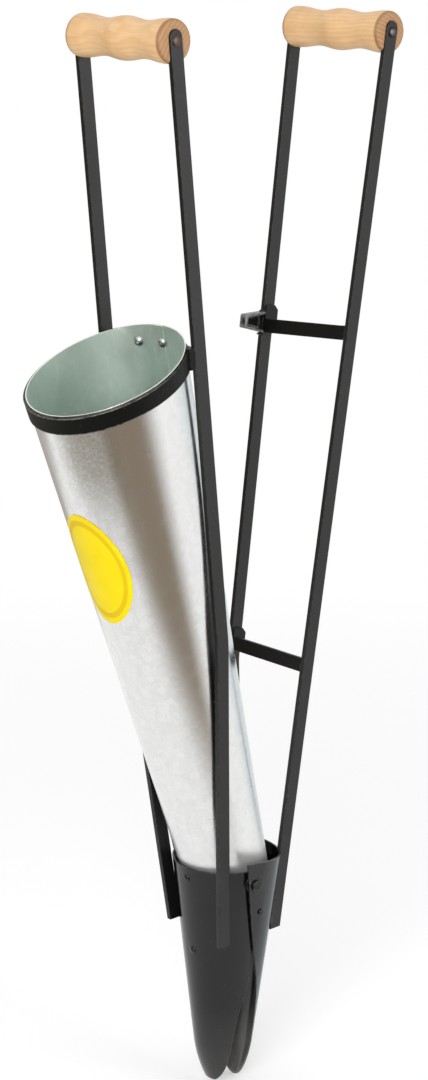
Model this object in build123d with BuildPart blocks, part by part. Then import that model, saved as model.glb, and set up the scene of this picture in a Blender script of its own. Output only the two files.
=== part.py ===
# Hand planter: two hinged handles, a leaning sheet-metal tube and a two-jaw planting bill.
# Millimetres. The origin is the middle of the front grip, +X runs to the rear handle, +Z is up.
import os
from math import atan2, cos, hypot, radians, sin
from build123d import *

os.makedirs("parts", exist_ok=True)

# Handles, made of flat bar
bar_width = 12.0
bar_thick = 4.0
grip_spread = 237.0
grip_half_length = 55.4
grip_round = 3.0
slot_floor = 52.4
slot_fit = 0.4
bar_half_top = 54.8
bar_over = 3.0
rod_radius = 3.2
rod_head = 4.3
rod_fit = 0.08

# Front bars run straight down in side view and bow out round the tube in front view
front_foot_x = 82.7
front_foot_z = -770.0
left_foot_z = -763.0
front_bow_z = -485.0
front_bow_half = 57.5
front_foot_half = 31.0

# Rear bars bend once, just under the lower crossbar
rear_bend_x = 162.0
rear_bend_z = -545.0
rear_bend_half = 45.0
rear_foot_x = 151.5
rear_foot_z = -775.0
rear_foot_half = 22.5
bend_radius = 160.0

# Crossbars of the rear handle, measured along the bars from the grip axis
upper_cross_left = 254.4
upper_cross_right = 248.2
lower_cross = 534.0
cross_height = 12.0
cross_sheet = 3.0
upper_ear_rise = 12.0
lower_ear_rise = 7.0
ear_depth = 14.0

# Planting bill: two half cones round an upright axis
jaw_x = 112.0
jaw_top = -690.0
curl_z = -875.0
curl_radius = 120.0
curl_turn = 27.0
front_jaw_top = -702.0
front_tip = -911.0
cheek_top = -692.0
rear_jaw_top = -704.0
rear_notch_top = -699.8
rear_tip = -918.0
jaw_sheet = 1.5
front_r_top = 46.8
front_taper = 0.114
rear_r_top = 50.5
rear_taper = 0.1285
cheek_reach = 19.0
cheek_base = -830.0

# Hinge on both sides of the bill
hinge_x = 104.0
hinge_z = -714.0
bolt_radius = 3.0
bolt_fit = 0.08
bush_radius = 6.5
bush_inner = 40.8
bush_outer = 45.4
boss_radius = 8.0
boss_inner = 45.8
boss_outer = 48.6
stop_pin_x = jaw_x + 2.3
stop_pin_z = -743.0

# Conical tube
foot_x = 117.0
foot_z = -725.0
mouth_x = -23.5
mouth_z = -255.7
foot_r = 36.5
mouth_r = 66.5
tube_sheet = 1.0
rim_tilt = 25.0
band_height = 14.0
band_sheet = 2.0

# Straps and rivets that hold the tube
strap_low = 477.0
strap_high = 491.0
strap_sheet = 2.0
strap_arc = 32.0
foot_strap_top = -702.6
foot_strap_sheet = 1.2
foot_strap_low = -792.0
foot_strap_arc = 9.0
rivet_radius = 2.0
rivet_head = 3.4
blind_head = 4.4
blind_bore = 1.1
tube_rivet_along = 485.0
seam_rivet_angle = 2.5
side_rivet_angle = 23.6
upper_jaw_rivet = -712.0
lower_jaw_rivet = -781.6

# Stop box on the rear handle, pointing at the front one
stop_along = 251.5
stop_reach = 22.0
stop_base = 18.0
stop_nose = 11.5
stop_inner = 46.0
stop_outer = 54.0
stop_sheet = 2.0

tube_length = hypot(mouth_x - foot_x, mouth_z - foot_z)
tube_slope = atan2(mouth_r - foot_r, tube_length)
jaw_slope = atan2(front_taper, 1)
tube_dir = Vector(mouth_x - foot_x, 0, mouth_z - foot_z).normalized()
tube_side = Vector(tube_dir.Z, 0, -tube_dir.X)
tube_axis = Axis((foot_x, 0, foot_z), tube_dir)
rim_plane = Plane(Location((mouth_x, 0, mouth_z), (0, -rim_tilt, 0)))
jaw_axis = Axis((jaw_x, 0, 0), (0, 0, 1))

front_up = Vector(-front_foot_x, 0, -front_foot_z).normalized()
rear_up = Vector(grip_spread - rear_bend_x, 0, -rear_bend_z).normalized()
front_plane = Plane((0, 0, 0), x_dir=(0, 1, 0), z_dir=(front_up.Z, 0, -front_up.X))
rear_plane = Plane((grip_spread, 0, 0), x_dir=(0, 1, 0), z_dir=(rear_up.Z, 0, -rear_up.X))
front_end = front_up * bar_over
rear_end = Vector(grip_spread, 0, 0) + rear_up * bar_over


def finish(builder, name):
    builder.part.label = name
    export_step(builder.part, f"parts/{name}.step")


def ribbon(width, *points, bend=None):
    # A band of even width along a centre line, with rounded or plain bends
    with BuildLine() as path:
        if bend:
            FilletPolyline(*points, radius=bend)
        else:
            Polyline(*points)
    trace(path.line, line_width=width)


def bill_body(top_r, taper, top=jaw_top, mode=Mode.ADD):
    # The bill's solid of revolution: a cone whose foot curls in towards the axis
    with BuildSketch(Plane.XZ) as half:
        with BuildLine():
            wall = Line((jaw_x + top_r + (top - jaw_top) * taper, top),
                        (jaw_x + top_r + (curl_z - jaw_top) * taper, curl_z))
            curl = JernArc(wall @ 1, wall % 1, curl_radius, -curl_turn)
            Polyline(curl @ 1, (jaw_x, (curl @ 1).Y), (jaw_x, top), wall @ 0)
        make_face()
    revolve(half.sketch, axis=jaw_axis, mode=mode)


def cheek_block(half_top, mode=Mode.ADD):
    # A straight-sided block that carries the rear half's flanks forward over the front half
    with BuildSketch(Plane.YZ.offset(jaw_x)) as flank:
        with BuildLine():
            low = half_top + (cheek_base - jaw_top) * rear_taper
            Polyline((-half_top, jaw_top), (half_top, jaw_top), (low, cheek_base), (-low, cheek_base), close=True)
        make_face()
    extrude(flank.sketch, amount=-cheek_reach - 5, mode=mode)


def on_tube(radius, along):
    # Side-view point at a distance along the tube's axis and a radius out from it
    point = Vector(foot_x, 0, foot_z) + tube_dir * along + tube_side * radius
    return (point.X, point.Z)


def tube_r(along):
    return foot_r + (mouth_r - foot_r) * along / tube_length


def tube_ring(inner, outer, low, high, arc=360, mode=Mode.ADD):
    # A conical ring that follows the tube's wall, offset outwards from it
    with BuildSketch(Plane.XZ) as wall:
        with BuildLine():
            Polyline(on_tube(tube_r(low) + inner, low), on_tube(tube_r(low) + outer, low),
                     on_tube(tube_r(high) + outer, high), on_tube(tube_r(high) + inner, high), close=True)
        make_face()
    revolve(wall.sketch, axis=tube_axis, revolution_arc=arc, mode=mode)


def tube_wall(along, angle):
    # A plane on the tube's outer wall that faces the inside
    radial = tube_side * cos(radians(angle)) + Vector(0, 1, 0) * sin(radians(angle))
    point = Vector(foot_x, 0, foot_z) + tube_dir * along + radial * tube_r(along)
    return Plane(point, x_dir=tube_side.cross(tube_dir), z_dir=tube_dir * sin(tube_slope) - radial * cos(tube_slope))


def jaw_r(z):
    return front_r_top + (z - jaw_top) * front_taper


def jaw_wall(z):
    # A plane on the front centre line of the bill that faces out
    return Plane((jaw_x - jaw_r(z), 0, z), x_dir=(0, 1, 0), z_dir=(-cos(jaw_slope), 0, -sin(jaw_slope)))


def drill(plane, radius):
    # A short hole through a wall
    with BuildSketch(plane) as hole:
        Circle(radius)
    extrude(hole.sketch, amount=6, both=True, mode=Mode.SUBTRACT)


def crown(edge, base, height):
    # The half profile of a domed head: a ball's arc from the rim to the axis
    ball = (edge ** 2 + height ** 2) / (2 * height)
    return RadiusArc((edge, base), (0, base + height), -ball)


def rivet(plane, tail_at, dome_at, head=rivet_head):
    # A domed head on the plane's outer side, a shank through the wall and a flat tail behind it
    with BuildSketch(Plane(plane.origin, x_dir=plane.x_dir, z_dir=plane.y_dir * -1)) as half:
        with BuildLine():
            dome = crown(head, dome_at, head * 0.55)
            Polyline(dome @ 1, (0, tail_at - 1.2), (rivet_head - 0.6, tail_at - 1.2), (rivet_head - 0.6, tail_at),
                     (rivet_radius, tail_at), (rivet_radius, dome_at), dome @ 0)
        make_face()
    revolve(half.sketch, axis=Axis(plane.origin, plane.z_dir))


def cross_hole(x, z, radius):
    # A hole through everything along the hinge direction
    with BuildSketch(Plane.XZ) as hole:
        with Locations((x, z)):
            Circle(radius)
    extrude(hole.sketch, amount=90, both=True, mode=Mode.SUBTRACT)


def grip_slots(end, up):
    # Slots in a grip's two ends, round above the rod and open downwards
    foot = end - up * 40
    for side in (-1, 1):
        with BuildSketch(Plane.XZ.offset(side * slot_floor)) as slot:
            ribbon(bar_width + 2 * slot_fit, (end.X, end.Z), (foot.X, foot.Z))
            with Locations((end.X, end.Z)):
                Circle(bar_width / 2 + slot_fit)
        extrude(slot.sketch, amount=side * 10, mode=Mode.SUBTRACT)


# Front bars
with BuildPart() as front_bar_right:
    with BuildSketch(Plane.XZ):
        ribbon(bar_width, (front_end.X, front_end.Z), (front_foot_x * 1.05, front_foot_z * 1.05))
        with Locations((front_end.X, front_end.Z)):
            Circle(bar_width / 2)
    extrude(amount=80, both=True)
    with BuildSketch(Plane.YZ):
        ribbon(bar_thick, (-bar_half_top + 0.1, 20), (-front_bow_half, front_bow_z),
               (-front_foot_half + 1.9, front_foot_z - 20), bend=bend_radius)
    extrude(amount=200, both=True, mode=Mode.INTERSECT)
    split(bisect_by=Plane.XY.offset(front_foot_z), keep=Keep.TOP)
    bill_body(front_r_top, front_taper, front_jaw_top, Mode.SUBTRACT)
    cross_hole(0, 0, rod_radius + 0.02)

with BuildPart() as front_bar_left:
    mirror(front_bar_right.part, about=Plane.XZ)
    split(bisect_by=Plane.XY.offset(left_foot_z), keep=Keep.TOP)

# Rear bars
with BuildPart() as rear_bar_right:
    with BuildSketch(Plane.XZ):
        ribbon(bar_width, (rear_end.X, rear_end.Z), (rear_bend_x, rear_bend_z),
               (rear_foot_x - 0.5, rear_foot_z - 11), bend=bend_radius)
        with Locations((rear_end.X, rear_end.Z)):
            Circle(bar_width / 2)
    extrude(amount=80, both=True)
    with BuildSketch(Plane.YZ):
        ribbon(bar_thick, (-bar_half_top - 0.35, 20), (-rear_bend_half, rear_bend_z),
               (-rear_foot_half + 1.1, rear_foot_z - 11))
    extrude(amount=400, both=True, mode=Mode.INTERSECT)
    split(bisect_by=Plane.XY.offset(rear_foot_z), keep=Keep.TOP)
    bill_body(rear_r_top, rear_taper, rear_notch_top, Mode.SUBTRACT)
    cross_hole(grip_spread, 0, rod_radius + 0.02)

with BuildPart() as rear_bar_left:
    mirror(rear_bar_right.part, about=Plane.XZ)

# Turned wooden grips, with a swell at both ends and the middle, slotted at the ends for the bars
with BuildPart() as grip_blank:
    with BuildSketch(Plane.XY):
        with BuildLine():
            wave = Spline((16.8, grip_half_length), (17.0, 45), (14.7, 22), (17.2, 0),
                          (14.7, -22), (17.0, -45), (16.8, -grip_half_length))
            Polyline(wave @ 1, (rod_radius + rod_fit, -grip_half_length),
                     (rod_radius + rod_fit, grip_half_length), wave @ 0)
        make_face()
    revolve(axis=Axis.Y)
    ends = grip_blank.edges().filter_by(GeomType.CIRCLE).sort_by(SortBy.RADIUS)[-2:]
    fillet(ends, radius=grip_round)

with BuildPart() as front_grip:
    add(grip_blank.part)
    grip_slots(front_end, front_up)

with BuildPart() as rear_grip:
    with Locations((grip_spread, 0, 0)):
        add(grip_blank.part)
    grip_slots(rear_end, rear_up)

# Through rods with peened heads
with BuildPart() as front_grip_rod:
    with BuildSketch(Plane.XY):
        with BuildLine():
            dome = crown(rod_head, bar_half_top + bar_thick / 2 + 0.1, 1.2)
            base = crown(rod_head, -bar_half_top - bar_thick / 2 - 0.1, -1.2)
            Polyline(base @ 0, (rod_radius, (base @ 0).Y), (rod_radius, (dome @ 0).Y), dome @ 0)
            Line(dome @ 1, base @ 1)
        make_face()
    revolve(axis=Axis.Y)

with BuildPart() as rear_grip_rod:
    with Locations((grip_spread, 0, 0)):
        add(front_grip_rod.part)


def crossbar(left, right, left_rise):
    # A flat web between the bars, with its ends bent into ears on the bars' inner faces
    def inner(along):
        z = along * rear_up.Z
        return bar_half_top + (rear_bend_half - bar_half_top) * z / -rear_bend_z - bar_thick / 2 - 0.03

    half = cross_height / 2
    with BuildPart() as bar:
        with BuildSketch(rear_plane.offset(-bar_width / 2)):
            for side, along, rise in ((-1, right, 0), (1, left, left_rise)):
                top = along - half - rise
                low = along + half
                with BuildLine():
                    Polyline((side * inner(low), -low), (side * inner(top), -top),
                             (side * (inner(top) - cross_sheet), -top),
                             (side * (inner(low) - cross_sheet), -low), close=True)
                make_face()
        extrude(amount=ear_depth)
        corner = rear_plane.offset(-bar_width / 2 + ear_depth)
        deep = bar.edges().filter_by(Axis.Y, tolerance=0.05).group_by(Axis(corner.origin, corner.z_dir))[-1]
        chamfer(deep.sort_by(Axis.Z)[-2:], length=4)
        with BuildSketch(rear_plane.offset(-bar_width / 2)):
            with BuildLine():
                Polyline((-inner(right + half), -right - half), (inner(left + half), -left - half),
                         (inner(left - half), half - left), (-inner(right - half), half - right), close=True)
            make_face()
        extrude(amount=cross_sheet)
    return bar


upper_crossbar = crossbar(upper_cross_left, upper_cross_right, upper_ear_rise)
lower_crossbar = crossbar(lower_cross, lower_cross, lower_ear_rise)

# Bill, front half: a half cone that ends in a rounded tongue
with BuildPart() as front_jaw:
    bill_body(front_r_top, front_taper)
    bill_body(front_r_top - jaw_sheet, front_taper, mode=Mode.SUBTRACT)
    with BuildSketch(Plane.XZ):
        with BuildLine():
            lip = Spline((jaw_x, -806), (jaw_x - 6.5, -838), (jaw_x - 10.6, -870), (jaw_x - 14.4, front_tip),
                         tangents=((0, -1), (-0.25, -1)))
            Polyline(lip @ 1, (jaw_x - 70, front_tip), (jaw_x - 70, front_jaw_top), (jaw_x, front_jaw_top), lip @ 0)
        make_face()
    extrude(amount=70, both=True, mode=Mode.INTERSECT)
    cross_hole(hinge_x, hinge_z, bush_radius)
    drill(jaw_wall(upper_jaw_rivet), rivet_radius + 0.02)
    drill(jaw_wall(lower_jaw_rivet), rivet_radius + 0.02)

# Bill, rear half: the same tongue, with straight cheeks that overlap the front half at the hinge
with BuildPart() as rear_jaw:
    bill_body(rear_r_top, rear_taper)
    cheek_block(rear_r_top)
    with BuildSketch(Plane.XZ):
        with BuildLine():
            lip = Spline((jaw_x - cheek_reach, cheek_top), (jaw_x - 6.6, -753), (jaw_x + 1.1, -786),
                         (jaw_x + 10.4, -822), (jaw_x + 13.6, -866), (jaw_x + 13.6, rear_tip),
                         tangents=((0.19, -1), (0.1, -1)))
            Polyline(lip @ 1, (jaw_x + 70, rear_tip), (jaw_x + 70, rear_jaw_top), lip @ 0)
        make_face()
    extrude(amount=70, both=True, mode=Mode.INTERSECT)
    with BuildSketch(Plane.XZ):
        with Locations((hinge_x, hinge_z)):
            Circle(boss_radius)
    extrude(amount=boss_outer, both=True)
    bill_body(rear_r_top - jaw_sheet, rear_taper, mode=Mode.SUBTRACT)
    cheek_block(rear_r_top - jaw_sheet, Mode.SUBTRACT)
    with BuildSketch(Plane.XZ):
        with Locations((hinge_x, hinge_z)):
            Circle(bush_radius + 0.8)
    extrude(amount=boss_inner, both=True, mode=Mode.SUBTRACT)
    cross_hole(hinge_x, hinge_z, bolt_radius + bolt_fit)
    cross_hole(stop_pin_x, stop_pin_z, 2.0)

# Hinge: bushes set in the front half, slotted bolts and thin nuts
with BuildPart() as hinge_bushes:
    with BuildSketch(Plane.XZ.offset(bush_inner)):
        with Locations((hinge_x, hinge_z)):
            Circle(bush_radius)
            Circle(bolt_radius + 0.02, mode=Mode.SUBTRACT)
    extrude(amount=bush_outer - bush_inner)
    mirror(about=Plane.XZ)

with BuildPart() as hinge_bolts:
    with BuildSketch(Plane.XZ.offset(bush_inner - 3.2)):
        with Locations((hinge_x, hinge_z)):
            Circle(bolt_radius)
    extrude(amount=boss_outer + 0.3 - bush_inner + 3.2)
    with BuildSketch(Plane.XZ.offset(boss_outer + 0.3)):
        with Locations((hinge_x, hinge_z)):
            Circle(4.9)
    extrude(amount=2.0)
    fillet(hinge_bolts.edges().sort_by(Axis.Y)[0], radius=1.2)
    with BuildSketch(Plane.XZ.offset(boss_outer + 1.2)):
        with Locations(Location((hinge_x, hinge_z), 40)):
            Rectangle(12, 1.4)
    extrude(amount=3, mode=Mode.SUBTRACT)
    mirror(about=Plane.XZ)

with BuildPart() as hinge_nuts:
    with BuildSketch(Plane.XZ.offset(bush_inner - 3.0)):
        with Locations((hinge_x, hinge_z)):
            RegularPolygon(radius=5.0, side_count=6, major_radius=False)
            Circle(bolt_radius + 0.02, mode=Mode.SUBTRACT)
    extrude(amount=3.0)
    mirror(about=Plane.XZ)

# Stop rivets on the cheeks: their shanks meet the front half's edges when the bill is shut
with BuildPart() as stop_rivets:
    with BuildSketch(Plane.XZ.offset(38.5)):
        with Locations((stop_pin_x, stop_pin_z)):
            Circle(2.0)
    extrude(amount=44.15 - 38.5)
    with BuildSketch(Plane.XZ.offset(44.15)):
        with Locations((stop_pin_x, stop_pin_z)):
            Circle(2.7)
    extrude(amount=1.2)
    fillet(stop_rivets.edges().sort_by(Axis.Y)[0], radius=0.9)
    mirror(about=Plane.XZ)

# Tube: a rolled cone with a lap seam inside its back, cut slanting at the mouth
with BuildPart() as seed_tube:
    tube_ring(-tube_sheet, 0, 0, tube_length + 30)
    tube_ring(-0.9 - tube_sheet, 0.1 - tube_sheet, 0, tube_length + 30, arc=8)
    split(bisect_by=rim_plane, keep=Keep.BOTTOM)
    drill(tube_wall(tube_rivet_along, seam_rivet_angle), rivet_radius + 0.02)
    drill(tube_wall(tube_rivet_along, side_rivet_angle), rivet_radius + 0.02)

# Strap round the front of the mouth, ending in tabs on the bars' edges
with BuildPart() as rim_band:
    tube_ring(0.2, 0.2 + band_sheet, tube_length - 45, tube_length + 20)
    split(bisect_by=rim_plane.offset(-1.2), keep=Keep.BOTTOM)
    split(bisect_by=rim_plane.offset(-1.2 - band_height), keep=Keep.TOP)
    split(bisect_by=front_plane.offset(-bar_width / 2), keep=Keep.BOTTOM)
    with BuildSketch(front_plane.offset(-bar_width / 2 - 5)):
        with Locations((-54.5, -245)):
            Rectangle(7, 17)
        with Locations((54.5, -249.5)):
            Rectangle(7, 8)
    extrude(amount=5)
    tube_ring(-40, 0.2, tube_length - 60, tube_length + 40, mode=Mode.SUBTRACT)

# Saddle strap behind the mouth, with a leg and an ear to each front bar
with BuildPart() as back_strap:
    for side in (-1, 1):
        tube_ring(0.05, 0.05 + strap_sheet, strap_low, strap_high, arc=side * strap_arc)
        reach = tube_r((strap_low + strap_high) / 2) + strap_sheet / 2 + 0.55
        base = Vector(foot_x, 0, foot_z) + tube_dir * strap_low
        with BuildSketch(Plane(base, x_dir=tube_side, z_dir=tube_dir)):
            with BuildLine():
                Polyline((reach * cos(radians(strap_arc)), side * reach * sin(radians(strap_arc))),
                         (54.0, side * 52.9), (46.8, side * 52.9))
            trace(line_width=strap_sheet)
        extrude(amount=strap_high - strap_low)
    drill(tube_wall(tube_rivet_along, seam_rivet_angle), rivet_radius + 0.02)
    drill(tube_wall(tube_rivet_along, side_rivet_angle), rivet_radius + 0.02)

with BuildPart() as tube_rivets:
    for angle, seat in ((seam_rivet_angle, 2.1), (side_rivet_angle, 1.2)):
        wall = tube_wall(tube_rivet_along, angle)
        rivet(wall, -strap_sheet - 0.1, seat, blind_head)
        with BuildSketch(wall.offset(seat + 0.9)):
            Circle(blind_bore)
        extrude(amount=4, mode=Mode.SUBTRACT)

# Foot strap inside the bill, from the front wall up to the tube
with BuildPart() as foot_strap:
    for side in (-1, 1):
        with BuildSketch(Plane.XZ):
            with BuildLine():
                low_x = jaw_x - jaw_r(foot_strap_low) + jaw_sheet + 0.05
                top_x = jaw_x - jaw_r(foot_strap_top) + jaw_sheet + 0.05
                Polyline((low_x, foot_strap_low), (low_x + foot_strap_sheet, foot_strap_low),
                         (top_x + foot_strap_sheet, foot_strap_top), (top_x, foot_strap_top), close=True)
            make_face()
        revolve(axis=jaw_axis, revolution_arc=side * foot_strap_arc)
    drill(jaw_wall(upper_jaw_rivet), rivet_radius + 0.02)
    drill(jaw_wall(lower_jaw_rivet), rivet_radius + 0.02)

with BuildPart() as jaw_rivets:
    for height in (upper_jaw_rivet, lower_jaw_rivet):
        rivet(jaw_wall(height), -jaw_sheet - foot_strap_sheet - 0.25, 0.05)

# Stop box: a folded sheet that is open on the inner side
with BuildPart() as closing_stop:
    stop_root = rear_plane.origin - rear_up * stop_along
    with BuildSketch(Plane(stop_root, x_dir=rear_plane.z_dir * -1, z_dir=(0, 1, 0)).offset(stop_inner)) as outline:
        with BuildLine():
            Polyline((bar_width / 2, -stop_base / 2), (bar_width / 2, stop_base / 2),
                     (bar_width / 2 + stop_reach, stop_nose / 2),
                     (bar_width / 2 + stop_reach, -stop_nose / 2), close=True)
        make_face()
    extrude(amount=stop_outer - stop_inner)
    fillet(closing_stop.edges().filter_by(Axis.Y).sort_by(Axis(stop_root, rear_plane.z_dir))[:2], radius=1.5)
    with BuildSketch(Plane(stop_root, x_dir=rear_plane.z_dir * -1, z_dir=(0, 1, 0)).offset(stop_inner)):
        with BuildLine():
            Polyline((bar_width / 2, stop_sheet - stop_base / 2), (bar_width / 2, stop_base / 2 - stop_sheet),
                     (bar_width / 2 + stop_reach - stop_sheet, stop_nose / 2 - stop_sheet + 0.3),
                     (bar_width / 2 + stop_reach - stop_sheet, stop_sheet - stop_nose / 2 - 0.3), close=True)
        make_face()
    extrude(amount=stop_outer - stop_inner - stop_sheet, mode=Mode.SUBTRACT)

for builder, name in (
    (front_bar_right, "front_bar_right"),
    (front_bar_left, "front_bar_left"),
    (rear_bar_right, "rear_bar_right"),
    (rear_bar_left, "rear_bar_left"),
    (front_grip, "front_grip"),
    (rear_grip, "rear_grip"),
    (front_grip_rod, "front_grip_rod"),
    (rear_grip_rod, "rear_grip_rod"),
    (upper_crossbar, "upper_crossbar"),
    (lower_crossbar, "lower_crossbar"),
    (front_jaw, "front_jaw"),
    (rear_jaw, "rear_jaw"),
    (hinge_bushes, "hinge_bushes"),
    (hinge_bolts, "hinge_bolts"),
    (hinge_nuts, "hinge_nuts"),
    (stop_rivets, "stop_rivets"),
    (seed_tube, "seed_tube"),
    (rim_band, "rim_band"),
    (back_strap, "back_strap"),
    (tube_rivets, "tube_rivets"),
    (foot_strap, "foot_strap"),
    (jaw_rivets, "jaw_rivets"),
    (closing_stop, "closing_stop"),
):
    finish(builder, name)
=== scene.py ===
from math import radians, sin
import bpy
from mathutils import Euler, Matrix, Vector


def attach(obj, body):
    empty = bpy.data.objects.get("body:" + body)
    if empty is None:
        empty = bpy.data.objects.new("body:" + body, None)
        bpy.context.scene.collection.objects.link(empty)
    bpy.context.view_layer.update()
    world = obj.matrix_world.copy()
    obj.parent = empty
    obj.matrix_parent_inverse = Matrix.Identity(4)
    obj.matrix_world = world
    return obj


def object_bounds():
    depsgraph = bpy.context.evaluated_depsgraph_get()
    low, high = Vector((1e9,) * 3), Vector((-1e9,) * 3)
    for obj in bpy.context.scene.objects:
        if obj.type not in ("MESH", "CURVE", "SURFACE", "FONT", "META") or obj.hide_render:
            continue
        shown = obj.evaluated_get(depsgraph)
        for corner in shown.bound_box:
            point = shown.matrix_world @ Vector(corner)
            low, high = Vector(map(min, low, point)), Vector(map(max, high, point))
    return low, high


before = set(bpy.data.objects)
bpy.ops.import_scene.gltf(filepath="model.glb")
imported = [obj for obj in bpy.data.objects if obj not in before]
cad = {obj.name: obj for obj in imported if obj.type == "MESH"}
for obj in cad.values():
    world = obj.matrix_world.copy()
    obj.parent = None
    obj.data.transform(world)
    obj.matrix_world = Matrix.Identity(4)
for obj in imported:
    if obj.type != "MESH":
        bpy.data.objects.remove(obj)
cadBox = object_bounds()
scene = bpy.context.scene
scene.view_settings.view_transform = "Standard"
bpy.ops.object.select_all(action="DESELECT")
print("loaded", len(cad), "solids")


# camera at the photograph's angle
view = {"turn": -43.06, "rise": 14.84, "roll": 0.52, "distance": 2.04423,
        "aim": (0.10607, 0.01046, -0.41948), "lens": 53.79, "sensorHeight": 24}


def addCamera(v):
    turned = Euler((radians(90 - v["rise"]), 0, radians(v["turn"]))).to_matrix()
    eye = Vector(v["aim"]) + turned @ Vector((0, 0, v["distance"]))
    bpy.ops.object.camera_add(location=eye)
    camera = bpy.context.object
    camera.rotation_euler = (turned @ Matrix.Rotation(radians(v["roll"]), 3, "Z")).to_euler()
    camera.data.sensor_fit = "VERTICAL"
    camera.data.sensor_height = v["sensorHeight"]
    camera.data.lens = v["lens"]
    scene.camera = camera


addCamera(view)
print("camera placed")


# node trees: nodes stand in rows, in the order they are made
nodeRows = {"length": 8, "across": 220, "down": -340}
white = (1, 1, 1, 1)
level = (1, 1, 0)  # keeps X and Y of a vector
acrossGrip = (1, 0, 1)  # keeps X and Z of a vector


def put(tree, kind, inputs=None, **settings):
    row, column = divmod(len(tree.nodes), nodeRows["length"])
    node = tree.nodes.new("ShaderNode" + kind)
    node.location = (column * nodeRows["across"], row * nodeRows["down"])
    for key, value in settings.items():
        setattr(node, key, value)
    for key, value in (inputs or {}).items():
        if isinstance(value, bpy.types.NodeSocket):
            tree.links.new(value, node.inputs[key])
        else:
            node.inputs[key].default_value = value
    return node


def wire(tree, node, **sockets):
    for key, value in sockets.items():
        tree.links.new(value, node.inputs[key.replace("_", " ")])


def maths(tree, kind, first, second=0.5, clamp=False):
    return put(tree, "Math", {0: first, 1: second}, operation=kind, use_clamp=clamp).outputs[0]


# a length, distance or dot product comes out as a number
def vectors(tree, kind, first, second=(0, 0, 0)):
    node = put(tree, "VectorMath", {0: first, 1: second}, operation=kind)
    return node.outputs["Value" if kind in ("LENGTH", "DISTANCE", "DOT_PRODUCT") else "Vector"]


def remap(tree, value, low, high, toLow=0.0, toHigh=1.0, clamp=True):
    inputs = {"Value": value, "From Min": low, "From Max": high, "To Min": toLow, "To Max": toHigh}
    return put(tree, "MapRange", inputs, clamp=clamp).outputs["Result"]


def blendColour(tree, mask, first, second):
    return put(tree, "Mix", {0: mask, 6: first, 7: second}, data_type="RGBA").outputs[2]


def blendValue(tree, mask, first, second):
    return put(tree, "Mix", {0: mask, 2: first, 3: second}).outputs[0]


def noise(tree, coord, scale, detail=2.0, rough=0.5):
    inputs = {"Vector": coord, "Scale": scale, "Detail": detail, "Roughness": rough}
    return put(tree, "TexNoise", inputs).outputs["Fac"]


# noise with its own scale along each axis
def drawnNoise(tree, coord, scales, detail=2.0, rough=0.5):
    drawn = put(tree, "Mapping", {"Vector": coord, "Scale": scales}).outputs[0]
    return noise(tree, drawn, 1.0, detail, rough)


# distance from an axis along Y
def girth(tree, coord):
    return vectors(tree, "LENGTH", vectors(tree, "MULTIPLY", coord, acrossGrip))


def bumped(tree, height, strength, distance, normal=None):
    node = put(tree, "Bump", {"Strength": strength, "Distance": distance, "Height": height})
    if normal is not None:
        wire(tree, node, Normal=normal)
    return node.outputs[0]


def newMaterial(name, **constants):
    material = bpy.data.materials.new(name)
    material.use_nodes = True
    tree = material.node_tree
    shader = tree.nodes["Principled BSDF"]
    for key, value in constants.items():
        shader.inputs[key.replace("_", " ")].default_value = value
    return material, tree, shader


def newGroup(name, numbers, results):
    tree = bpy.data.node_groups.new(name, "ShaderNodeTree")
    for label, value in numbers.items():
        socket = tree.interface.new_socket(label, in_out="INPUT", socket_type="NodeSocketFloat")
        socket.default_value = value
    for label, kind in results.items():
        tree.interface.new_socket(label, in_out="OUTPUT", socket_type="NodeSocket" + kind)
    entry = tree.nodes.new("NodeGroupInput")
    leave = tree.nodes.new("NodeGroupOutput")
    leave.location = (nodeRows["across"], 0)
    return tree, entry.outputs, leave


# rounded edges, and where the finish has rubbed thin on them
edgeRub = {"samples": 6, "edge": (0.995, 0.86), "detail": 4.0, "rough": 0.65, "patch": (0.44, 0.66)}


def buildEdgeWear(e):
    tree, entry, leave = newGroup("edge wear", {"Width": 0.001, "Patchiness": 300.0, "Reach": 0.0},
                                  {"Mask": "Float", "Normal": "Vector"})
    rounded = put(tree, "Bevel", {"Radius": entry["Width"]}, samples=e["samples"]).outputs[0]
    flat = put(tree, "NewGeometry").outputs["Normal"]
    edge = remap(tree, vectors(tree, "DOT_PRODUCT", rounded, flat), *e["edge"])
    coord = put(tree, "TexCoord").outputs["Object"]
    spread = noise(tree, coord, entry["Patchiness"], e["detail"], e["rough"])
    patch = remap(tree, maths(tree, "ADD", spread, entry["Reach"]), *e["patch"])
    wire(tree, leave, Mask=maths(tree, "MULTIPLY", edge, patch, True), Normal=rounded)
    return tree


# scattered dust and specks, as one mask; only some of the cells have one
speckSpread = {"without": 0.72}


def buildSpecks(s):
    tree, entry, leave = newGroup("specks", {"Scale": 200.0, "Size": 0.12}, {"Mask": "Float"})
    coord = put(tree, "TexCoord").outputs["Object"]
    cells = put(tree, "TexVoronoi", {"Vector": coord, "Scale": entry["Scale"]}).outputs
    chance = put(tree, "SeparateColor", {0: cells["Color"]}).outputs[0]
    dot = maths(tree, "LESS_THAN", cells["Distance"], entry["Size"])
    few = maths(tree, "GREATER_THAN", chance, s["without"])
    wire(tree, leave, Mask=maths(tree, "MULTIPLY", dot, few))
    return tree


edgeWear = buildEdgeWear(edgeRub)
specks = buildSpecks(speckSpread)
print("shared effects built")


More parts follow.
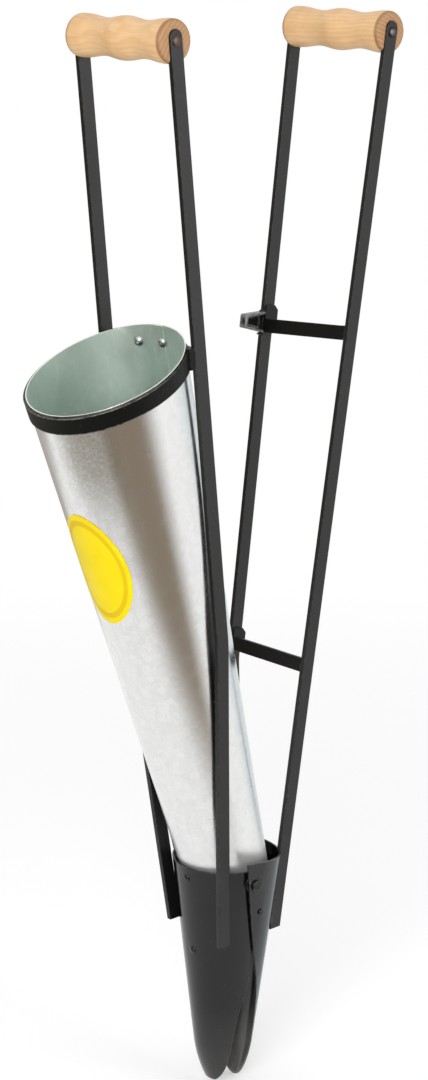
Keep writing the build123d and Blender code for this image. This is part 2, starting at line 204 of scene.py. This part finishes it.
# black paint: satin on the flat bars, darker on the crossbars as a shaded copy of the bar paint (painted
# shade), glossy on the bill, matt on the rim band and chipped on the stop box
paintCoat = {"cloudScale": 26.0, "cloudDetail": 5.0, "cloudRough": 0.6, "cloudRange": (0.3, 0.7),
             "deeper": 0.82, "patchiness": 260.0, "speckScale": 240.0, "speckSize": 0.11,
             "dust": (0.20, 0.19, 0.17, 1), "dustShare": 0.22, "peelScale": 950.0, "peelHeight": 0.0002}
barPaint = {"name": "black paint on bars", "colour": (0.0080, 0.0083, 0.0078, 1), "gloss": 0.38,
            "rough": (0.30, 0.46), "peel": 0.10, "worn": (0.16, 0.155, 0.145, 1),
            "edge": 0.0009, "wear": 0.55, "reach": 0.0}
# the crossbars' paint is the bar paint made darker: painted shade
shadedCrossPaint = dict(barPaint, name="black paint on crossbars", colour=(0.0040, 0.0042, 0.0037, 1), gloss=0.24)
jawPaint = {"name": "black paint on bill", "colour": (0.0040, 0.0044, 0.0043, 1), "gloss": 0.43,
            "rough": (0.12, 0.23), "peel": 0.08, "worn": (0.20, 0.195, 0.185, 1),
            "edge": 0.0008, "wear": 0.60, "reach": 0.06,
            # lighter inner tips: soil rubbing and painted reflection
            "scuffAndReflection": {"axis": (0.112, 0.0, 0.0), "inner": -0.002, "outside": 0.16,
                      "from": -0.835, "to": -0.885, "cloudRange": (0.25, 0.60), "least": 0.5,
                      "colour": (0.140, 0.138, 0.130, 1)}}
bandPaint = {"name": "matt black paint", "colour": (0.0042, 0.0043, 0.0038, 1), "gloss": 0.15,
             "rough": (0.40, 0.58), "peel": 0.12, "worn": (0.42, 0.405, 0.36, 1),
             "edge": 0.0016, "wear": 0.80, "reach": 0.10,
             # wear on the band's top edge, stronger towards the front: partly painted highlight
             "rubbedAndLit": {"least": 0.0, "most": -0.055, "share": 0.10}}
chippedPaint = {"name": "chipped black paint", "colour": (0.010, 0.010, 0.009, 1), "gloss": 0.5,
                "rough": (0.12, 0.26), "peel": 0.14, "worn": (0.46, 0.46, 0.445, 1),
                "edge": 0.0050, "wear": 0.90, "reach": 0.12}


# the bill's tips, lighter grey on their inner faces and a little on the outer ones: partly rubbed by soil,
# partly a painted reflection of light inside the tongues
def addScuffAndReflection(tree, c, tone, cloud):
    coords = put(tree, "TexCoord").outputs
    fromAxis = vectors(tree, "MULTIPLY", vectors(tree, "SUBTRACT", coords["Object"], c["axis"]), level)
    inner = maths(tree, "LESS_THAN", vectors(tree, "DOT_PRODUCT", fromAxis, coords["Normal"]), c["inner"])
    share = remap(tree, inner, 0.0, 1.0, c["outside"], 1.0)
    low = remap(tree, put(tree, "SeparateXYZ", {0: coords["Object"]}).outputs[2], c["from"], c["to"])
    patchy = remap(tree, cloud, *c["cloudRange"], c["least"], 1.0)
    rubbedAndLit = maths(tree, "MULTIPLY", maths(tree, "MULTIPLY", share, low), patchy)
    return blendColour(tree, rubbedAndLit, tone, c["colour"])


# edge wear that grows towards the front of the band, where it also stands for highlights along the top
# edge: partly painted highlight
def addRubAndHighlight(tree, r, coord, mask):
    along = put(tree, "SeparateXYZ", {0: coord}).outputs[0]
    return maths(tree, "MULTIPLY", mask, remap(tree, along, r["least"], r["most"], r["share"], 1.0))


def makePaint(p, coat):
    material, tree, shader = newMaterial(p["name"], Specular_IOR_Level=p["gloss"])
    coord = put(tree, "TexCoord").outputs["Object"]
    wear = put(tree, "Group", {"Width": p["edge"], "Patchiness": coat["patchiness"], "Reach": p["reach"]},
               node_tree=edgeWear).outputs
    dust = put(tree, "Group", {"Scale": coat["speckScale"], "Size": coat["speckSize"]},
               node_tree=specks).outputs["Mask"]
    cloud = noise(tree, coord, coat["cloudScale"], coat["cloudDetail"], coat["cloudRough"])
    deep = tuple(part * coat["deeper"] for part in p["colour"][:3]) + (1,)
    tone = blendColour(tree, remap(tree, cloud, *coat["cloudRange"]), p["colour"], deep)
    tone = blendColour(tree, maths(tree, "MULTIPLY", dust, coat["dustShare"]), tone, coat["dust"])
    mask = maths(tree, "MULTIPLY", wear["Mask"], p["wear"])
    if "rubbedAndLit" in p:
        mask = addRubAndHighlight(tree, p["rubbedAndLit"], coord, mask)
    tone = blendColour(tree, mask, tone, p["worn"])
    if "scuffAndReflection" in p:
        tone = addScuffAndReflection(tree, p["scuffAndReflection"], tone, cloud)
    rough = remap(tree, cloud, *coat["cloudRange"], *p["rough"])
    peel = noise(tree, coord, coat["peelScale"])
    bump = bumped(tree, peel, p["peel"], coat["peelHeight"], wear["Normal"])
    wire(tree, shader, Base_Color=tone, Roughness=rough, Normal=bump)
    return material


# rolled zinc-coated sheet: spangle, marks along the tube's axis, a dull foot and a dull greenish inside
zinc = {"name": "zinc-coated sheet", "foot": (0.117, 0.0, -0.725), "lean": -16.667, "length": 0.4899,
        "footRadius": 0.0365, "mouthRadius": 0.0665, "skin": 0.0005,
        "bright": (0.855, 0.855, 0.85, 1), "grey": (0.78, 0.782, 0.775, 1), "toneRange": (0.30, 0.70),
        "rolled": {"scales": (240, 240, 9), "detail": 4.0, "rough": 0.6},
        "spangle": 170.0, "spangleShare": 0.40,
        "grain": {"scale": 430.0, "detail": 3.0, "rough": 0.6}, "grainShare": 0.45,
        "cloud": {"scale": 22.0, "detail": 5.0, "rough": 0.62},
        "inside": (0.71, 0.80, 0.745, 1), "insideDeep": (0.60, 0.70, 0.64, 1), "insideRange": (0.35, 0.68),
        "chalk": (0.84, 0.90, 0.855, 1), "runs": {"scales": (150, 150, 55), "detail": 6.0, "rough": 0.7},
        "chalkRange": (0.52, 0.68), "chalkShare": 0.55,
        # painted shade under the rim band, on the front-left side only
        "shadeUnderBand": {"from": 0.385, "to": 0.430, "facing": (-0.896, -0.445, 0.0), "edge": (0.90, 0.985),
                  "grainShare": 0.6, "mottle": (0.22, 0.60), "colour": (0.50, 0.50, 0.455, 1)},
        "dullFoot": 0.10, "footRough": 0.24, "footMetal": 0.55,
        "roughRange": (0.25, 0.75), "rough": (0.17, 0.29),
        "insideRoughRange": (0.3, 0.7), "insideRough": (0.42, 0.60),
        "edge": 0.0004, "bump": 0.12, "relief": 0.0003}


# painted shade: a darker grey patch under the rim band, above the oval, on the side facing front-left
def addShadeUnderBand(tree, s, tone, around, along, mottle):
    facing = vectors(tree, "DOT_PRODUCT", vectors(tree, "NORMALIZE", around), s["facing"])
    front = remap(tree, facing, *s["edge"])
    high = remap(tree, along, s["from"], s["to"])
    place = maths(tree, "MULTIPLY", front, high)
    darkened = maths(tree, "MULTIPLY", place, remap(tree, mottle, *s["mottle"]))
    return blendColour(tree, darkened, tone, s["colour"])


def makeZinc(z):
    material, tree, shader = newMaterial(z["name"])
    coord = put(tree, "TexCoord").outputs["Object"]
    # turned so that its own Z runs up the tube from the foot
    turn = {"Vector": coord, "Location": z["foot"], "Rotation": (0, radians(z["lean"]), 0)}
    upright = put(tree, "Mapping", turn, vector_type="TEXTURE").outputs[0]
    along = put(tree, "SeparateXYZ", {0: upright}).outputs[2]
    around = vectors(tree, "MULTIPLY", upright, level)
    outer = remap(tree, along, 0.0, z["length"], z["footRadius"], z["mouthRadius"], clamp=False)
    depth = maths(tree, "SUBTRACT", outer, vectors(tree, "LENGTH", around))
    inside = maths(tree, "GREATER_THAN", depth, z["skin"])
    cells = put(tree, "TexVoronoi", {"Vector": coord, "Scale": z["spangle"]}).outputs["Color"]
    flake = put(tree, "SeparateColor", {0: cells}).outputs[0]
    streak = drawnNoise(tree, upright, *z["rolled"].values())
    grain = noise(tree, coord, *z["grain"].values())
    cloud = noise(tree, coord, *z["cloud"].values())
    sheet = blendValue(tree, z["grainShare"], blendValue(tree, z["spangleShare"], streak, flake), grain)
    bright = blendColour(tree, remap(tree, sheet, *z["toneRange"]), z["bright"], z["grey"])
    mottle = blendValue(tree, z["shadeUnderBand"]["grainShare"], cloud, grain)
    bright = addShadeUnderBand(tree, z["shadeUnderBand"], bright, around, along, mottle)
    dull = blendColour(tree, remap(tree, cloud, *z["insideRange"]), z["inside"], z["insideDeep"])
    runs = drawnNoise(tree, upright, *z["runs"].values())
    dull = blendColour(tree, remap(tree, runs, *z["chalkRange"], 0.0, z["chalkShare"]), dull, z["chalk"])
    tone = blendColour(tree, inside, bright, dull)
    footRough = remap(tree, along, 0.0, z["dullFoot"], z["footRough"], 0.0)
    outerRough = maths(tree, "ADD", remap(tree, sheet, *z["roughRange"], *z["rough"]), footRough)
    innerRough = remap(tree, cloud, *z["insideRoughRange"], *z["insideRough"])
    rough = blendValue(tree, inside, outerRough, innerRough)
    metal = remap(tree, along, 0.0, z["dullFoot"], z["footMetal"], 1.0)
    rounded = put(tree, "Group", {"Width": z["edge"]}, node_tree=edgeWear).outputs["Normal"]
    bump = bumped(tree, sheet, z["bump"], z["relief"], rounded)
    wire(tree, shader, Base_Color=tone, Roughness=rough, Metallic=metal, Normal=bump)
    return material


# light turned wood: rings round an off-centre pith, long fibres, faint lathe marks and darker ends, with
# painted shade round each end's rounded edge
frontWood = {"name": "turned wood front", "middle": (0.0, 0.0, 0.0), "pith": (0.045, 0, -0.030),
             "seed": 1.7, "phase": 0.5}
rearWood = {"name": "turned wood rear", "middle": (0.237, 0.0, 0.0), "pith": (-0.030, 0, -0.050),
            "seed": 6.1, "phase": 0.0}
wood = {"pale": (0.80, 0.52, 0.265, 1), "warm": (0.66, 0.385, 0.170, 1), "vein": (0.50, 0.265, 0.11, 1),
        "rings": 290.0, "wander": 14.0, "sway": 0.012, "lateRise": (0.25, 0.80), "lateFall": (1.0, 0.80),
        "ringShare": 0.44, "fibre": {"scales": (520, 16, 520), "detail": 4.0, "rough": 0.6},
        "fibreRange": (0.42, 0.78), "fibreShare": 0.55, "pore": {"scales": (900, 70, 900), "detail": 1.0},
        "poreRange": (0.66, 0.80), "poreShare": 0.5, "patch": {"scale": 45.0, "detail": 3.0},
        "patchRange": (0.36, 0.72), "handled": (0.56, 0.305, 0.125, 1), "waist": 0.0148, "swell": 0.0170,
        "handledShare": (0.15, 0.62), "halfLength": 0.0532, "end": (0.40, 0.205, 0.083, 1),
        # the dark line round each end's rounded edge is painted shade
        "endDeep": (0.28, 0.135, 0.050, 1), "endShare": 0.9, "rim": (0.26, 0.125, 0.045, 1),
        "rimIn": (0.0514, 0.0530), "rimOut": (0.0552, 0.0541), "rimShare": 0.75,
        "lathe": 5200.0, "latheShare": 0.12, "bump": 0.14, "relief": 0.0003,
        "roughRange": (0.3, 0.7), "rough": (0.40, 0.55), "coat": 0.12, "coatRough": 0.35}


# dark late wood of each year's ring, as a mask
def addRings(tree, w, t, centred):
    wander = put(tree, "TexNoise", {"Vector": centred, "Scale": t["wander"], "W": w["seed"]},
                 noise_dimensions="4D").outputs["Color"]
    sway = vectors(tree, "MULTIPLY", vectors(tree, "SUBTRACT", wander, (0.5, 0.5, 0.5)), (t["sway"],) * 3)
    fromPith = vectors(tree, "SUBTRACT", vectors(tree, "ADD", centred, sway), w["pith"])
    years = maths(tree, "ADD", maths(tree, "MULTIPLY", girth(tree, fromPith), t["rings"]), w["phase"])
    year = maths(tree, "FRACT", years)
    return maths(tree, "MULTIPLY", remap(tree, year, *t["lateRise"]), remap(tree, year, *t["lateFall"]))


# darker end grain, and a dark line round each end's rounded edge that is painted shade
def addEnds(tree, t, tone, late, along):
    fromMiddle = maths(tree, "ABSOLUTE", along)
    end = maths(tree, "GREATER_THAN", fromMiddle, t["halfLength"])
    endGrain = blendColour(tree, late, t["end"], t["endDeep"])
    tone = blendColour(tree, maths(tree, "MULTIPLY", end, t["endShare"]), tone, endGrain)
    rim = maths(tree, "MULTIPLY", remap(tree, fromMiddle, *t["rimIn"], 0.0, t["rimShare"]),
                remap(tree, fromMiddle, *t["rimOut"]))
    return blendColour(tree, rim, tone, t["rim"])


def makeWood(w, t):
    material, tree, shader = newMaterial(w["name"], Coat_Roughness=t["coatRough"], Coat_Weight=t["coat"])
    coord = put(tree, "TexCoord").outputs["Object"]
    centred = vectors(tree, "SUBTRACT", coord, w["middle"])
    late = addRings(tree, w, t, centred)
    fibre = drawnNoise(tree, centred, *t["fibre"].values())
    pore = drawnNoise(tree, centred, *t["pore"].values())
    patch = remap(tree, noise(tree, centred, *t["patch"].values()), *t["patchRange"])
    tone = blendColour(tree, maths(tree, "MULTIPLY", late, t["ringShare"]), t["pale"], t["warm"])
    tone = blendColour(tree, remap(tree, fibre, *t["fibreRange"], 0.0, t["fibreShare"]), tone, t["warm"])
    tone = blendColour(tree, remap(tree, pore, *t["poreRange"], 0.0, t["poreShare"]), tone, t["vein"])
    # hands darken the swells more than the waists
    thick = remap(tree, girth(tree, centred), t["waist"], t["swell"], *t["handledShare"])
    tone = blendColour(tree, maths(tree, "MULTIPLY", patch, thick), tone, t["handled"])
    along = put(tree, "SeparateXYZ", {0: centred}).outputs[1]
    tone = addEnds(tree, t, tone, late, along)
    lathe = maths(tree, "SINE", maths(tree, "MULTIPLY", along, t["lathe"]))
    height = maths(tree, "ADD", maths(tree, "MULTIPLY", lathe, t["latheShare"]), fibre)
    rough = remap(tree, fibre, *t["roughRange"], *t["rough"])
    bump = bumped(tree, height, t["bump"], t["relief"])
    wire(tree, shader, Base_Color=tone, Roughness=rough, Normal=bump)
    return material


# bare steel of rods, rivets, nuts and bushes, with a little staining
steelSkin = {"cloud": {"scale": 320.0, "detail": 5.0, "rough": 0.65}, "stainRange": (0.48, 0.70),
             "roughRange": (0.3, 0.7), "rough": (0.22, 0.48), "edge": 0.0004,
             "bump": 0.08, "relief": 0.0001}
rearRodSteel = {"name": "peened rod steel", "clean": (0.150, 0.150, 0.153, 1),
                "darkened": (0.080, 0.077, 0.074, 1),
                # the rear rod's head darker outside a small bright centre: painted shade round a painted
                # glint
                "rim": {"axis": (0.237, 0.0, 0.0), "bright": 0.0019, "dark": 0.0033,
                        "colour": (0.030, 0.026, 0.022, 1)}}
brightSteel = {"name": "bright steel", "clean": (0.50, 0.515, 0.505, 1), "darkened": (0.29, 0.285, 0.27, 1)}
brownSteel = {"name": "browned steel", "clean": (0.13, 0.088, 0.072, 1), "darkened": (0.045, 0.03, 0.025, 1)}
dullSteel = {"name": "dull steel", "clean": (0.135, 0.132, 0.128, 1), "darkened": (0.048, 0.045, 0.042, 1)}


# painted shade round the edge of a rod's head, leaving a small bright centre as a painted glint
def addShadeRoundGlint(tree, r, tone, coord):
    radius = girth(tree, vectors(tree, "SUBTRACT", coord, r["axis"]))
    return blendColour(tree, remap(tree, radius, r["bright"], r["dark"]), tone, r["colour"])


def makeSteel(s, skin):
    material, tree, shader = newMaterial(s["name"], Metallic=1.0)
    coord = put(tree, "TexCoord").outputs["Object"]
    cloud = noise(tree, coord, *skin["cloud"].values())
    tone = blendColour(tree, remap(tree, cloud, *skin["stainRange"]), s["clean"], s["darkened"])
    if "rim" in s:
        tone = addShadeRoundGlint(tree, s["rim"], tone, coord)
    rough = remap(tree, cloud, *skin["roughRange"], *skin["rough"])
    rounded = put(tree, "Group", {"Width": skin["edge"]}, node_tree=edgeWear).outputs["Normal"]
    bump = bumped(tree, cloud, skin["bump"], skin["relief"], rounded)
    wire(tree, shader, Base_Color=tone, Roughness=rough, Normal=bump)
    return material


# plain yellow oval with one deeper ring inside its edge
ovalFinish = {"name": "yellow film", "field": (0.91, 0.71, 0.003, 1), "border": (0.70, 0.47, 0.004, 1),
              "gloss": 0.14, "ringIn": (0.395, 0.405), "ringOut": (0.455, 0.445), "ringShare": 0.8,
              "fade": {"scale": 60.0, "detail": 4.0}, "fadeRange": (0.3, 0.75), "fadeShare": 0.25,
              "roughRange": (0.3, 0.7), "rough": (0.30, 0.45), "bump": 0.08, "relief": 0.0002}


def makeOvalFilm(o):
    material, tree, shader = newMaterial(o["name"], Specular_IOR_Level=o["gloss"])
    away = vectors(tree, "DISTANCE", put(tree, "UVMap").outputs[0], (0.5, 0.5, 0))
    ring = maths(tree, "MULTIPLY", remap(tree, away, *o["ringIn"]),
                 remap(tree, away, *o["ringOut"], 0.0, o["ringShare"]))
    fade = noise(tree, put(tree, "TexCoord").outputs["Object"], *o["fade"].values())
    faded = remap(tree, fade, *o["fadeRange"], 0.0, o["fadeShare"])
    tone = blendColour(tree, ring, blendColour(tree, faded, o["field"], o["border"]), o["border"])
    rough = remap(tree, fade, *o["roughRange"], *o["rough"])
    bump = bumped(tree, fade, o["bump"], o["relief"])
    wire(tree, shader, Base_Color=tone, Roughness=rough, Normal=bump)
    return material


jawBlack = makePaint(jawPaint, paintCoat)
finishes = {
    makePaint(barPaint, paintCoat): ("front_bar_right", "front_bar_left", "rear_bar_right", "rear_bar_left",
                                     "back_strap"),
    makePaint(shadedCrossPaint, paintCoat): ("upper_crossbar", "lower_crossbar"),
    jawBlack: ("front_jaw", "rear_jaw", "hinge_bolts", "jaw_rivets", "foot_strap", "stop_rivets"),
    makePaint(bandPaint, paintCoat): ("rim_band",),
    makePaint(chippedPaint, paintCoat): ("closing_stop",),
    makeZinc(zinc): ("seed_tube",),
    makeSteel(brightSteel, steelSkin): ("hinge_nuts", "tube_rivets"),
    makeSteel(rearRodSteel, steelSkin): ("rear_grip_rod",),
    makeSteel(brownSteel, steelSkin): ("front_grip_rod",),
    makeSteel(dullSteel, steelSkin): ("hinge_bushes",),
    makeWood(frontWood, wood): ("front_grip",),
    makeWood(rearWood, wood): ("rear_grip",),
}
for material, names in finishes.items():
    for name in names:
        for slot in cad[name].material_slots:
            slot.material = material
print("finishes assigned")


# the oval on the front of the tube, laid onto the sheet from a little way off
oval = {"along": 0.3381, "standOff": 0.085, "halfWidth": 0.0323, "halfHeight": 0.0509,
        "sides": 96, "cuts": 10, "lift": 0.00018, "film": 0.00030, "smoothAngle": 40}


def addOval(o, z):
    lean = Matrix.Rotation(radians(z["lean"]), 3, "Y")
    up = lean @ Vector((0, 0, 1))
    out = lean @ Vector((-1, 0, 0))
    place = Vector(z["foot"]) + up * o["along"] + out * o["standOff"]
    bpy.ops.mesh.primitive_circle_add(vertices=o["sides"], radius=1, fill_type="TRIFAN", calc_uvs=True)
    piece = bpy.context.object
    piece.name = "yellowOval"
    bpy.ops.object.mode_set(mode="EDIT")
    bpy.ops.mesh.select_all(action="SELECT")
    bpy.ops.mesh.subdivide(number_cuts=o["cuts"])
    bpy.ops.transform.resize(value=(o["halfWidth"], o["halfHeight"], 1))
    bpy.ops.object.mode_set(mode="OBJECT")
    # its face looks out of the tube and its long side runs up it
    turn = Matrix((out.cross(up) * -1, up, out)).transposed()
    piece.matrix_world = Matrix.Translation(place) @ turn.to_4x4()
    wrap = piece.modifiers.new("lay", "SHRINKWRAP")
    wrap.target = cad["seed_tube"]
    wrap.wrap_method = "PROJECT"
    wrap.use_project_z = True
    wrap.use_negative_direction = True
    wrap.use_positive_direction = False
    wrap.offset = o["lift"]
    film = piece.modifiers.new("film", "SOLIDIFY")
    film.thickness = o["film"]
    film.offset = 1
    for modifier in ("lay", "film"):
        bpy.ops.object.modifier_apply(modifier=modifier)
    bpy.ops.object.transform_apply(location=True, rotation=True, scale=True)
    bpy.ops.object.shade_smooth_by_angle(angle=radians(o["smoothAngle"]))
    piece.data.materials.append(makeOvalFilm(ovalFinish))
    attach(piece, "front_half")


addOval(oval, zinc)
print("oval laid on the tube")


# weld beads where bars, bill, crossbars, band tabs and stop box meet: start, end and radius of each
frontSeams = {"foot right": ((0.0858, -0.0318, -0.738), (0.0886, -0.0302, -0.765), 0.0017),
              "foot left": ((0.0858, 0.0318, -0.738), (0.0879, 0.0306, -0.759), 0.0017),
              "tab right": ((0.0209, -0.0574, -0.2528), (0.0209, -0.0545, -0.2528), 0.0013),
              "tab left": ((0.0209, 0.0574, -0.2528), (0.0209, 0.0545, -0.2528), 0.0013)}
rearSeams = {"foot right": ((0.1466, -0.0272, -0.742), (0.1452, -0.0238, -0.767), 0.0019),
             "foot left": ((0.1466, 0.0272, -0.742), (0.1452, 0.0238, -0.767), 0.0019),
             "foot blob right": ((0.1449, -0.0240, -0.7645), (0.1447, -0.0236, -0.7680), 0.0028),
             "upper right": ((0.2100, -0.0495, -0.2425), (0.2086, -0.0493, -0.2525), 0.0016),
             "upper left": ((0.2106, 0.0496, -0.2385), (0.2078, 0.0491, -0.2585), 0.0016),
             "lower right": ((0.1713, -0.0446, -0.5240), (0.1699, -0.0444, -0.5340), 0.0016),
             "lower left": ((0.1716, 0.0446, -0.5215), (0.1699, 0.0444, -0.5340), 0.0016),
             "stop top": ((0.1981, 0.0472, -0.2392), (0.1981, 0.0532, -0.2392), 0.0011),
             "stop foot": ((0.1955, 0.0472, -0.2588), (0.1955, 0.0532, -0.2588), 0.0011)}
bead = {"subdivisions": 3, "roughen": 0.09, "seed": 5, "smooth": 0.5, "smoothings": 2, "spacing": 0.85,
        "turn": (1.1, 0.7, 1.9), "swell": 0.13, "swellStep": 2.3, "swellHeight": 40,
        "voxel": 0.00035, "even": 0.5, "evenings": 3}


# one rough drop, modelled once and copied along each seam, then melted together
def addWelds(name, body, seams, finish, b):
    bpy.ops.object.select_all(action="DESELECT")
    bpy.ops.mesh.primitive_ico_sphere_add(subdivisions=b["subdivisions"], radius=1)
    drop = bpy.context.object
    bpy.ops.object.mode_set(mode="EDIT")
    bpy.ops.mesh.select_all(action="SELECT")
    bpy.ops.transform.vertex_random(offset=b["roughen"], seed=b["seed"])
    bpy.ops.mesh.vertices_smooth(factor=b["smooth"], repeat=b["smoothings"])
    bpy.ops.object.mode_set(mode="OBJECT")
    copies = []
    for start, end, radius in seams.values():
        first = Vector(start)
        run = Vector(end) - first
        count = max(2, round(run.length / (radius * b["spacing"])))
        for step in range(count + 1):
            swell = 1 + b["swell"] * sin(b["swellStep"] * step + b["swellHeight"] * start[2])
            copy = drop.copy()
            copy.data = drop.data.copy()
            scene.collection.objects.link(copy)
            copy.location = first + run * step / count
            copy.rotation_euler = [angle * step for angle in b["turn"]]
            copy.scale = [radius * swell] * 3
            copies.append(copy)
    bpy.data.objects.remove(drop)
    bpy.ops.object.select_all(action="DESELECT")
    for copy in copies:
        copy.select_set(True)
    bpy.context.view_layer.objects.active = copies[0]
    bpy.ops.object.join()
    piece = bpy.context.object
    piece.name = name
    bpy.ops.object.transform_apply(location=True, rotation=True, scale=True)
    melt = piece.modifiers.new("melt", "REMESH")
    melt.mode = "VOXEL"
    melt.voxel_size = b["voxel"]
    even = piece.modifiers.new("even", "SMOOTH")
    even.factor = b["even"]
    even.iterations = b["evenings"]
    for modifier in ("melt", "even"):
        bpy.ops.object.modifier_apply(modifier=modifier)
    bpy.ops.object.shade_smooth()
    piece.data.materials.clear()
    piece.data.materials.append(finish)
    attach(piece, body)
    print(name, len(piece.data.polygons), "faces")


addWelds("frontWelds", "front_half", frontSeams, jawBlack, bead)
addWelds("rearWelds", "rear_half", rearSeams, jawBlack, bead)


# pale floor that reads white from the camera and keeps the shadow; in reflections it is a white table in a
# dark room, a little cool towards the light
studio = {"floorSize": 60, "floorColour": (0.82, 0.82, 0.82, 1), "lift": 0.29, "middle": (0.10, 0.0, 0.0),
          "fade": (0.45, 1.6), "ambient": 0.55, "roomColour": (0.262, 0.212, 0.156, 1),
          "lightSide": (0.9925, 0.122, 0.0), "sideEdge": (0.34, -0.08), "skyEdge": (0.35, 0.10),
          "coolColour": (0.78, 0.84, 0.86, 1), "coolEdge": (0.86, 0.98),
          "backSide": (0.392, 0.920, 0.0), "backEdge": (0.85, 0.93), "backShare": 0.72,
          "backFrom": (0.95, 1.20)}
tableEdges = {"left": {"line": (1.0, 0.15, 0.0), "edge": (-0.56, -0.88)},
              "far": {"line": (0.0, 1.0, 0.0), "edge": (0.90, 1.40)},
              "front": {"line": (0.20, 1.0, 0.0), "edge": (-0.30, -0.56)}}


# how well a direction along the floor agrees with a side of the room
def towards(tree, direction, side):
    heading = vectors(tree, "NORMALIZE", vectors(tree, "MULTIPLY", direction, level))
    return vectors(tree, "DOT_PRODUCT", heading, side)


# what a glossy surface sees past the table's edges: the room, away from the light and far behind
def addReflection(tree, s, edges, fromMiddle):
    beyond = 0.0
    for edge in edges.values():
        past = remap(tree, vectors(tree, "DOT_PRODUCT", fromMiddle, edge["line"]), *edge["edge"])
        beyond = maths(tree, "MAXIMUM", beyond, past)
    light = towards(tree, fromMiddle, s["lightSide"])
    away = maths(tree, "MULTIPLY", remap(tree, light, *s["sideEdge"]), beyond)
    behind = remap(tree, towards(tree, fromMiddle, s["backSide"]), *s["backEdge"], 0.0, s["backShare"])
    distance = put(tree, "SeparateXYZ", {0: fromMiddle}).outputs[1]
    back = maths(tree, "MULTIPLY", behind, remap(tree, distance, *s["backFrom"]))
    table = blendColour(tree, remap(tree, light, *s["coolEdge"]), white, s["coolColour"])
    tone = blendColour(tree, maths(tree, "MAXIMUM", away, back), table, s["roomColour"])
    return put(tree, "Emission", {"Color": tone, "Strength": 1.0}).outputs[0]


def addFloor(s, edges):
    bpy.ops.mesh.primitive_plane_add(size=s["floorSize"], location=(0, 0, cadBox[0][2]))
    floor = bpy.context.object
    floor.name = "floor"
    material = bpy.data.materials.new("pale floor")
    material.use_nodes = True
    tree = material.node_tree
    tree.nodes.clear()
    fromMiddle = vectors(tree, "SUBTRACT", put(tree, "TexCoord").outputs["Object"], s["middle"])
    far = remap(tree, vectors(tree, "LENGTH", fromMiddle), *s["fade"])
    path = put(tree, "LightPath").outputs
    seen = maths(tree, "MAXIMUM", path["Is Camera Ray"], path["Is Transmission Ray"])
    matt = put(tree, "BsdfDiffuse", {"Color": s["floorColour"]}).outputs[0]
    lifted = {"Color": white, "Strength": maths(tree, "MULTIPLY", seen, s["lift"])}
    near = put(tree, "AddShader", {0: matt, 1: put(tree, "Emission", lifted).outputs[0]}).outputs[0]
    plain = put(tree, "Emission", {"Color": white, "Strength": 1.0}).outputs[0]
    faded = put(tree, "MixShader", {0: maths(tree, "MULTIPLY", far, seen), 1: near, 2: plain}).outputs[0]
    mirror = addReflection(tree, s, edges, fromMiddle)
    both = put(tree, "MixShader", {0: path["Is Glossy Ray"], 1: faded, 2: mirror}).outputs[0]
    put(tree, "OutputMaterial", {"Surface": both})
    floor.data.materials.append(material)


def addWorld(s):
    world = bpy.data.worlds.new("studio")
    world.use_nodes = True
    scene.world = world
    tree = world.node_tree
    tree.nodes.clear()
    path = put(tree, "LightPath").outputs
    seen = maths(tree, "MAXIMUM", path["Is Camera Ray"], path["Is Glossy Ray"])
    seen = maths(tree, "MAXIMUM", seen, path["Is Transmission Ray"])
    strength = remap(tree, seen, 0.0, 1.0, s["ambient"], 1.0)
    direction = put(tree, "TexCoord").outputs["Object"]
    rise = put(tree, "SeparateXYZ", {0: direction}).outputs[2]
    dark = remap(tree, towards(tree, direction, s["lightSide"]), *s["sideEdge"])
    low = maths(tree, "MULTIPLY", dark, remap(tree, rise, *s["skyEdge"]))
    tone = blendColour(tree, maths(tree, "MULTIPLY", low, path["Is Glossy Ray"]), white, s["roomColour"])
    sky = put(tree, "Background", {"Color": tone, "Strength": strength}).outputs[0]
    put(tree, "OutputWorld", {"Surface": sky})


lamps = {
    "key": {"at": (-2.0, -1.3, 0.5), "size": 1.6, "power": 42},
    "fill": {"at": (0.9, -2.4, 0.1), "size": 1.8, "power": 22},
    "top": {"at": (0.3, 0.4, 2.2), "size": 2.0, "power": 9},
}


def addLamps(group):
    for name, lamp in group.items():
        bpy.ops.object.light_add(type="AREA", location=lamp["at"])
        light = bpy.context.object
        light.name = name
        light.rotation_euler = (Vector(lamp["at"]) - Vector(view["aim"])).to_track_quat("Z", "Y").to_euler()
        light.data.shape = "SQUARE"
        light.data.size = lamp["size"]
        light.data.energy = lamp["power"]


addFloor(studio, tableEdges)
addWorld(studio)
addLamps(lamps)
print("studio set")
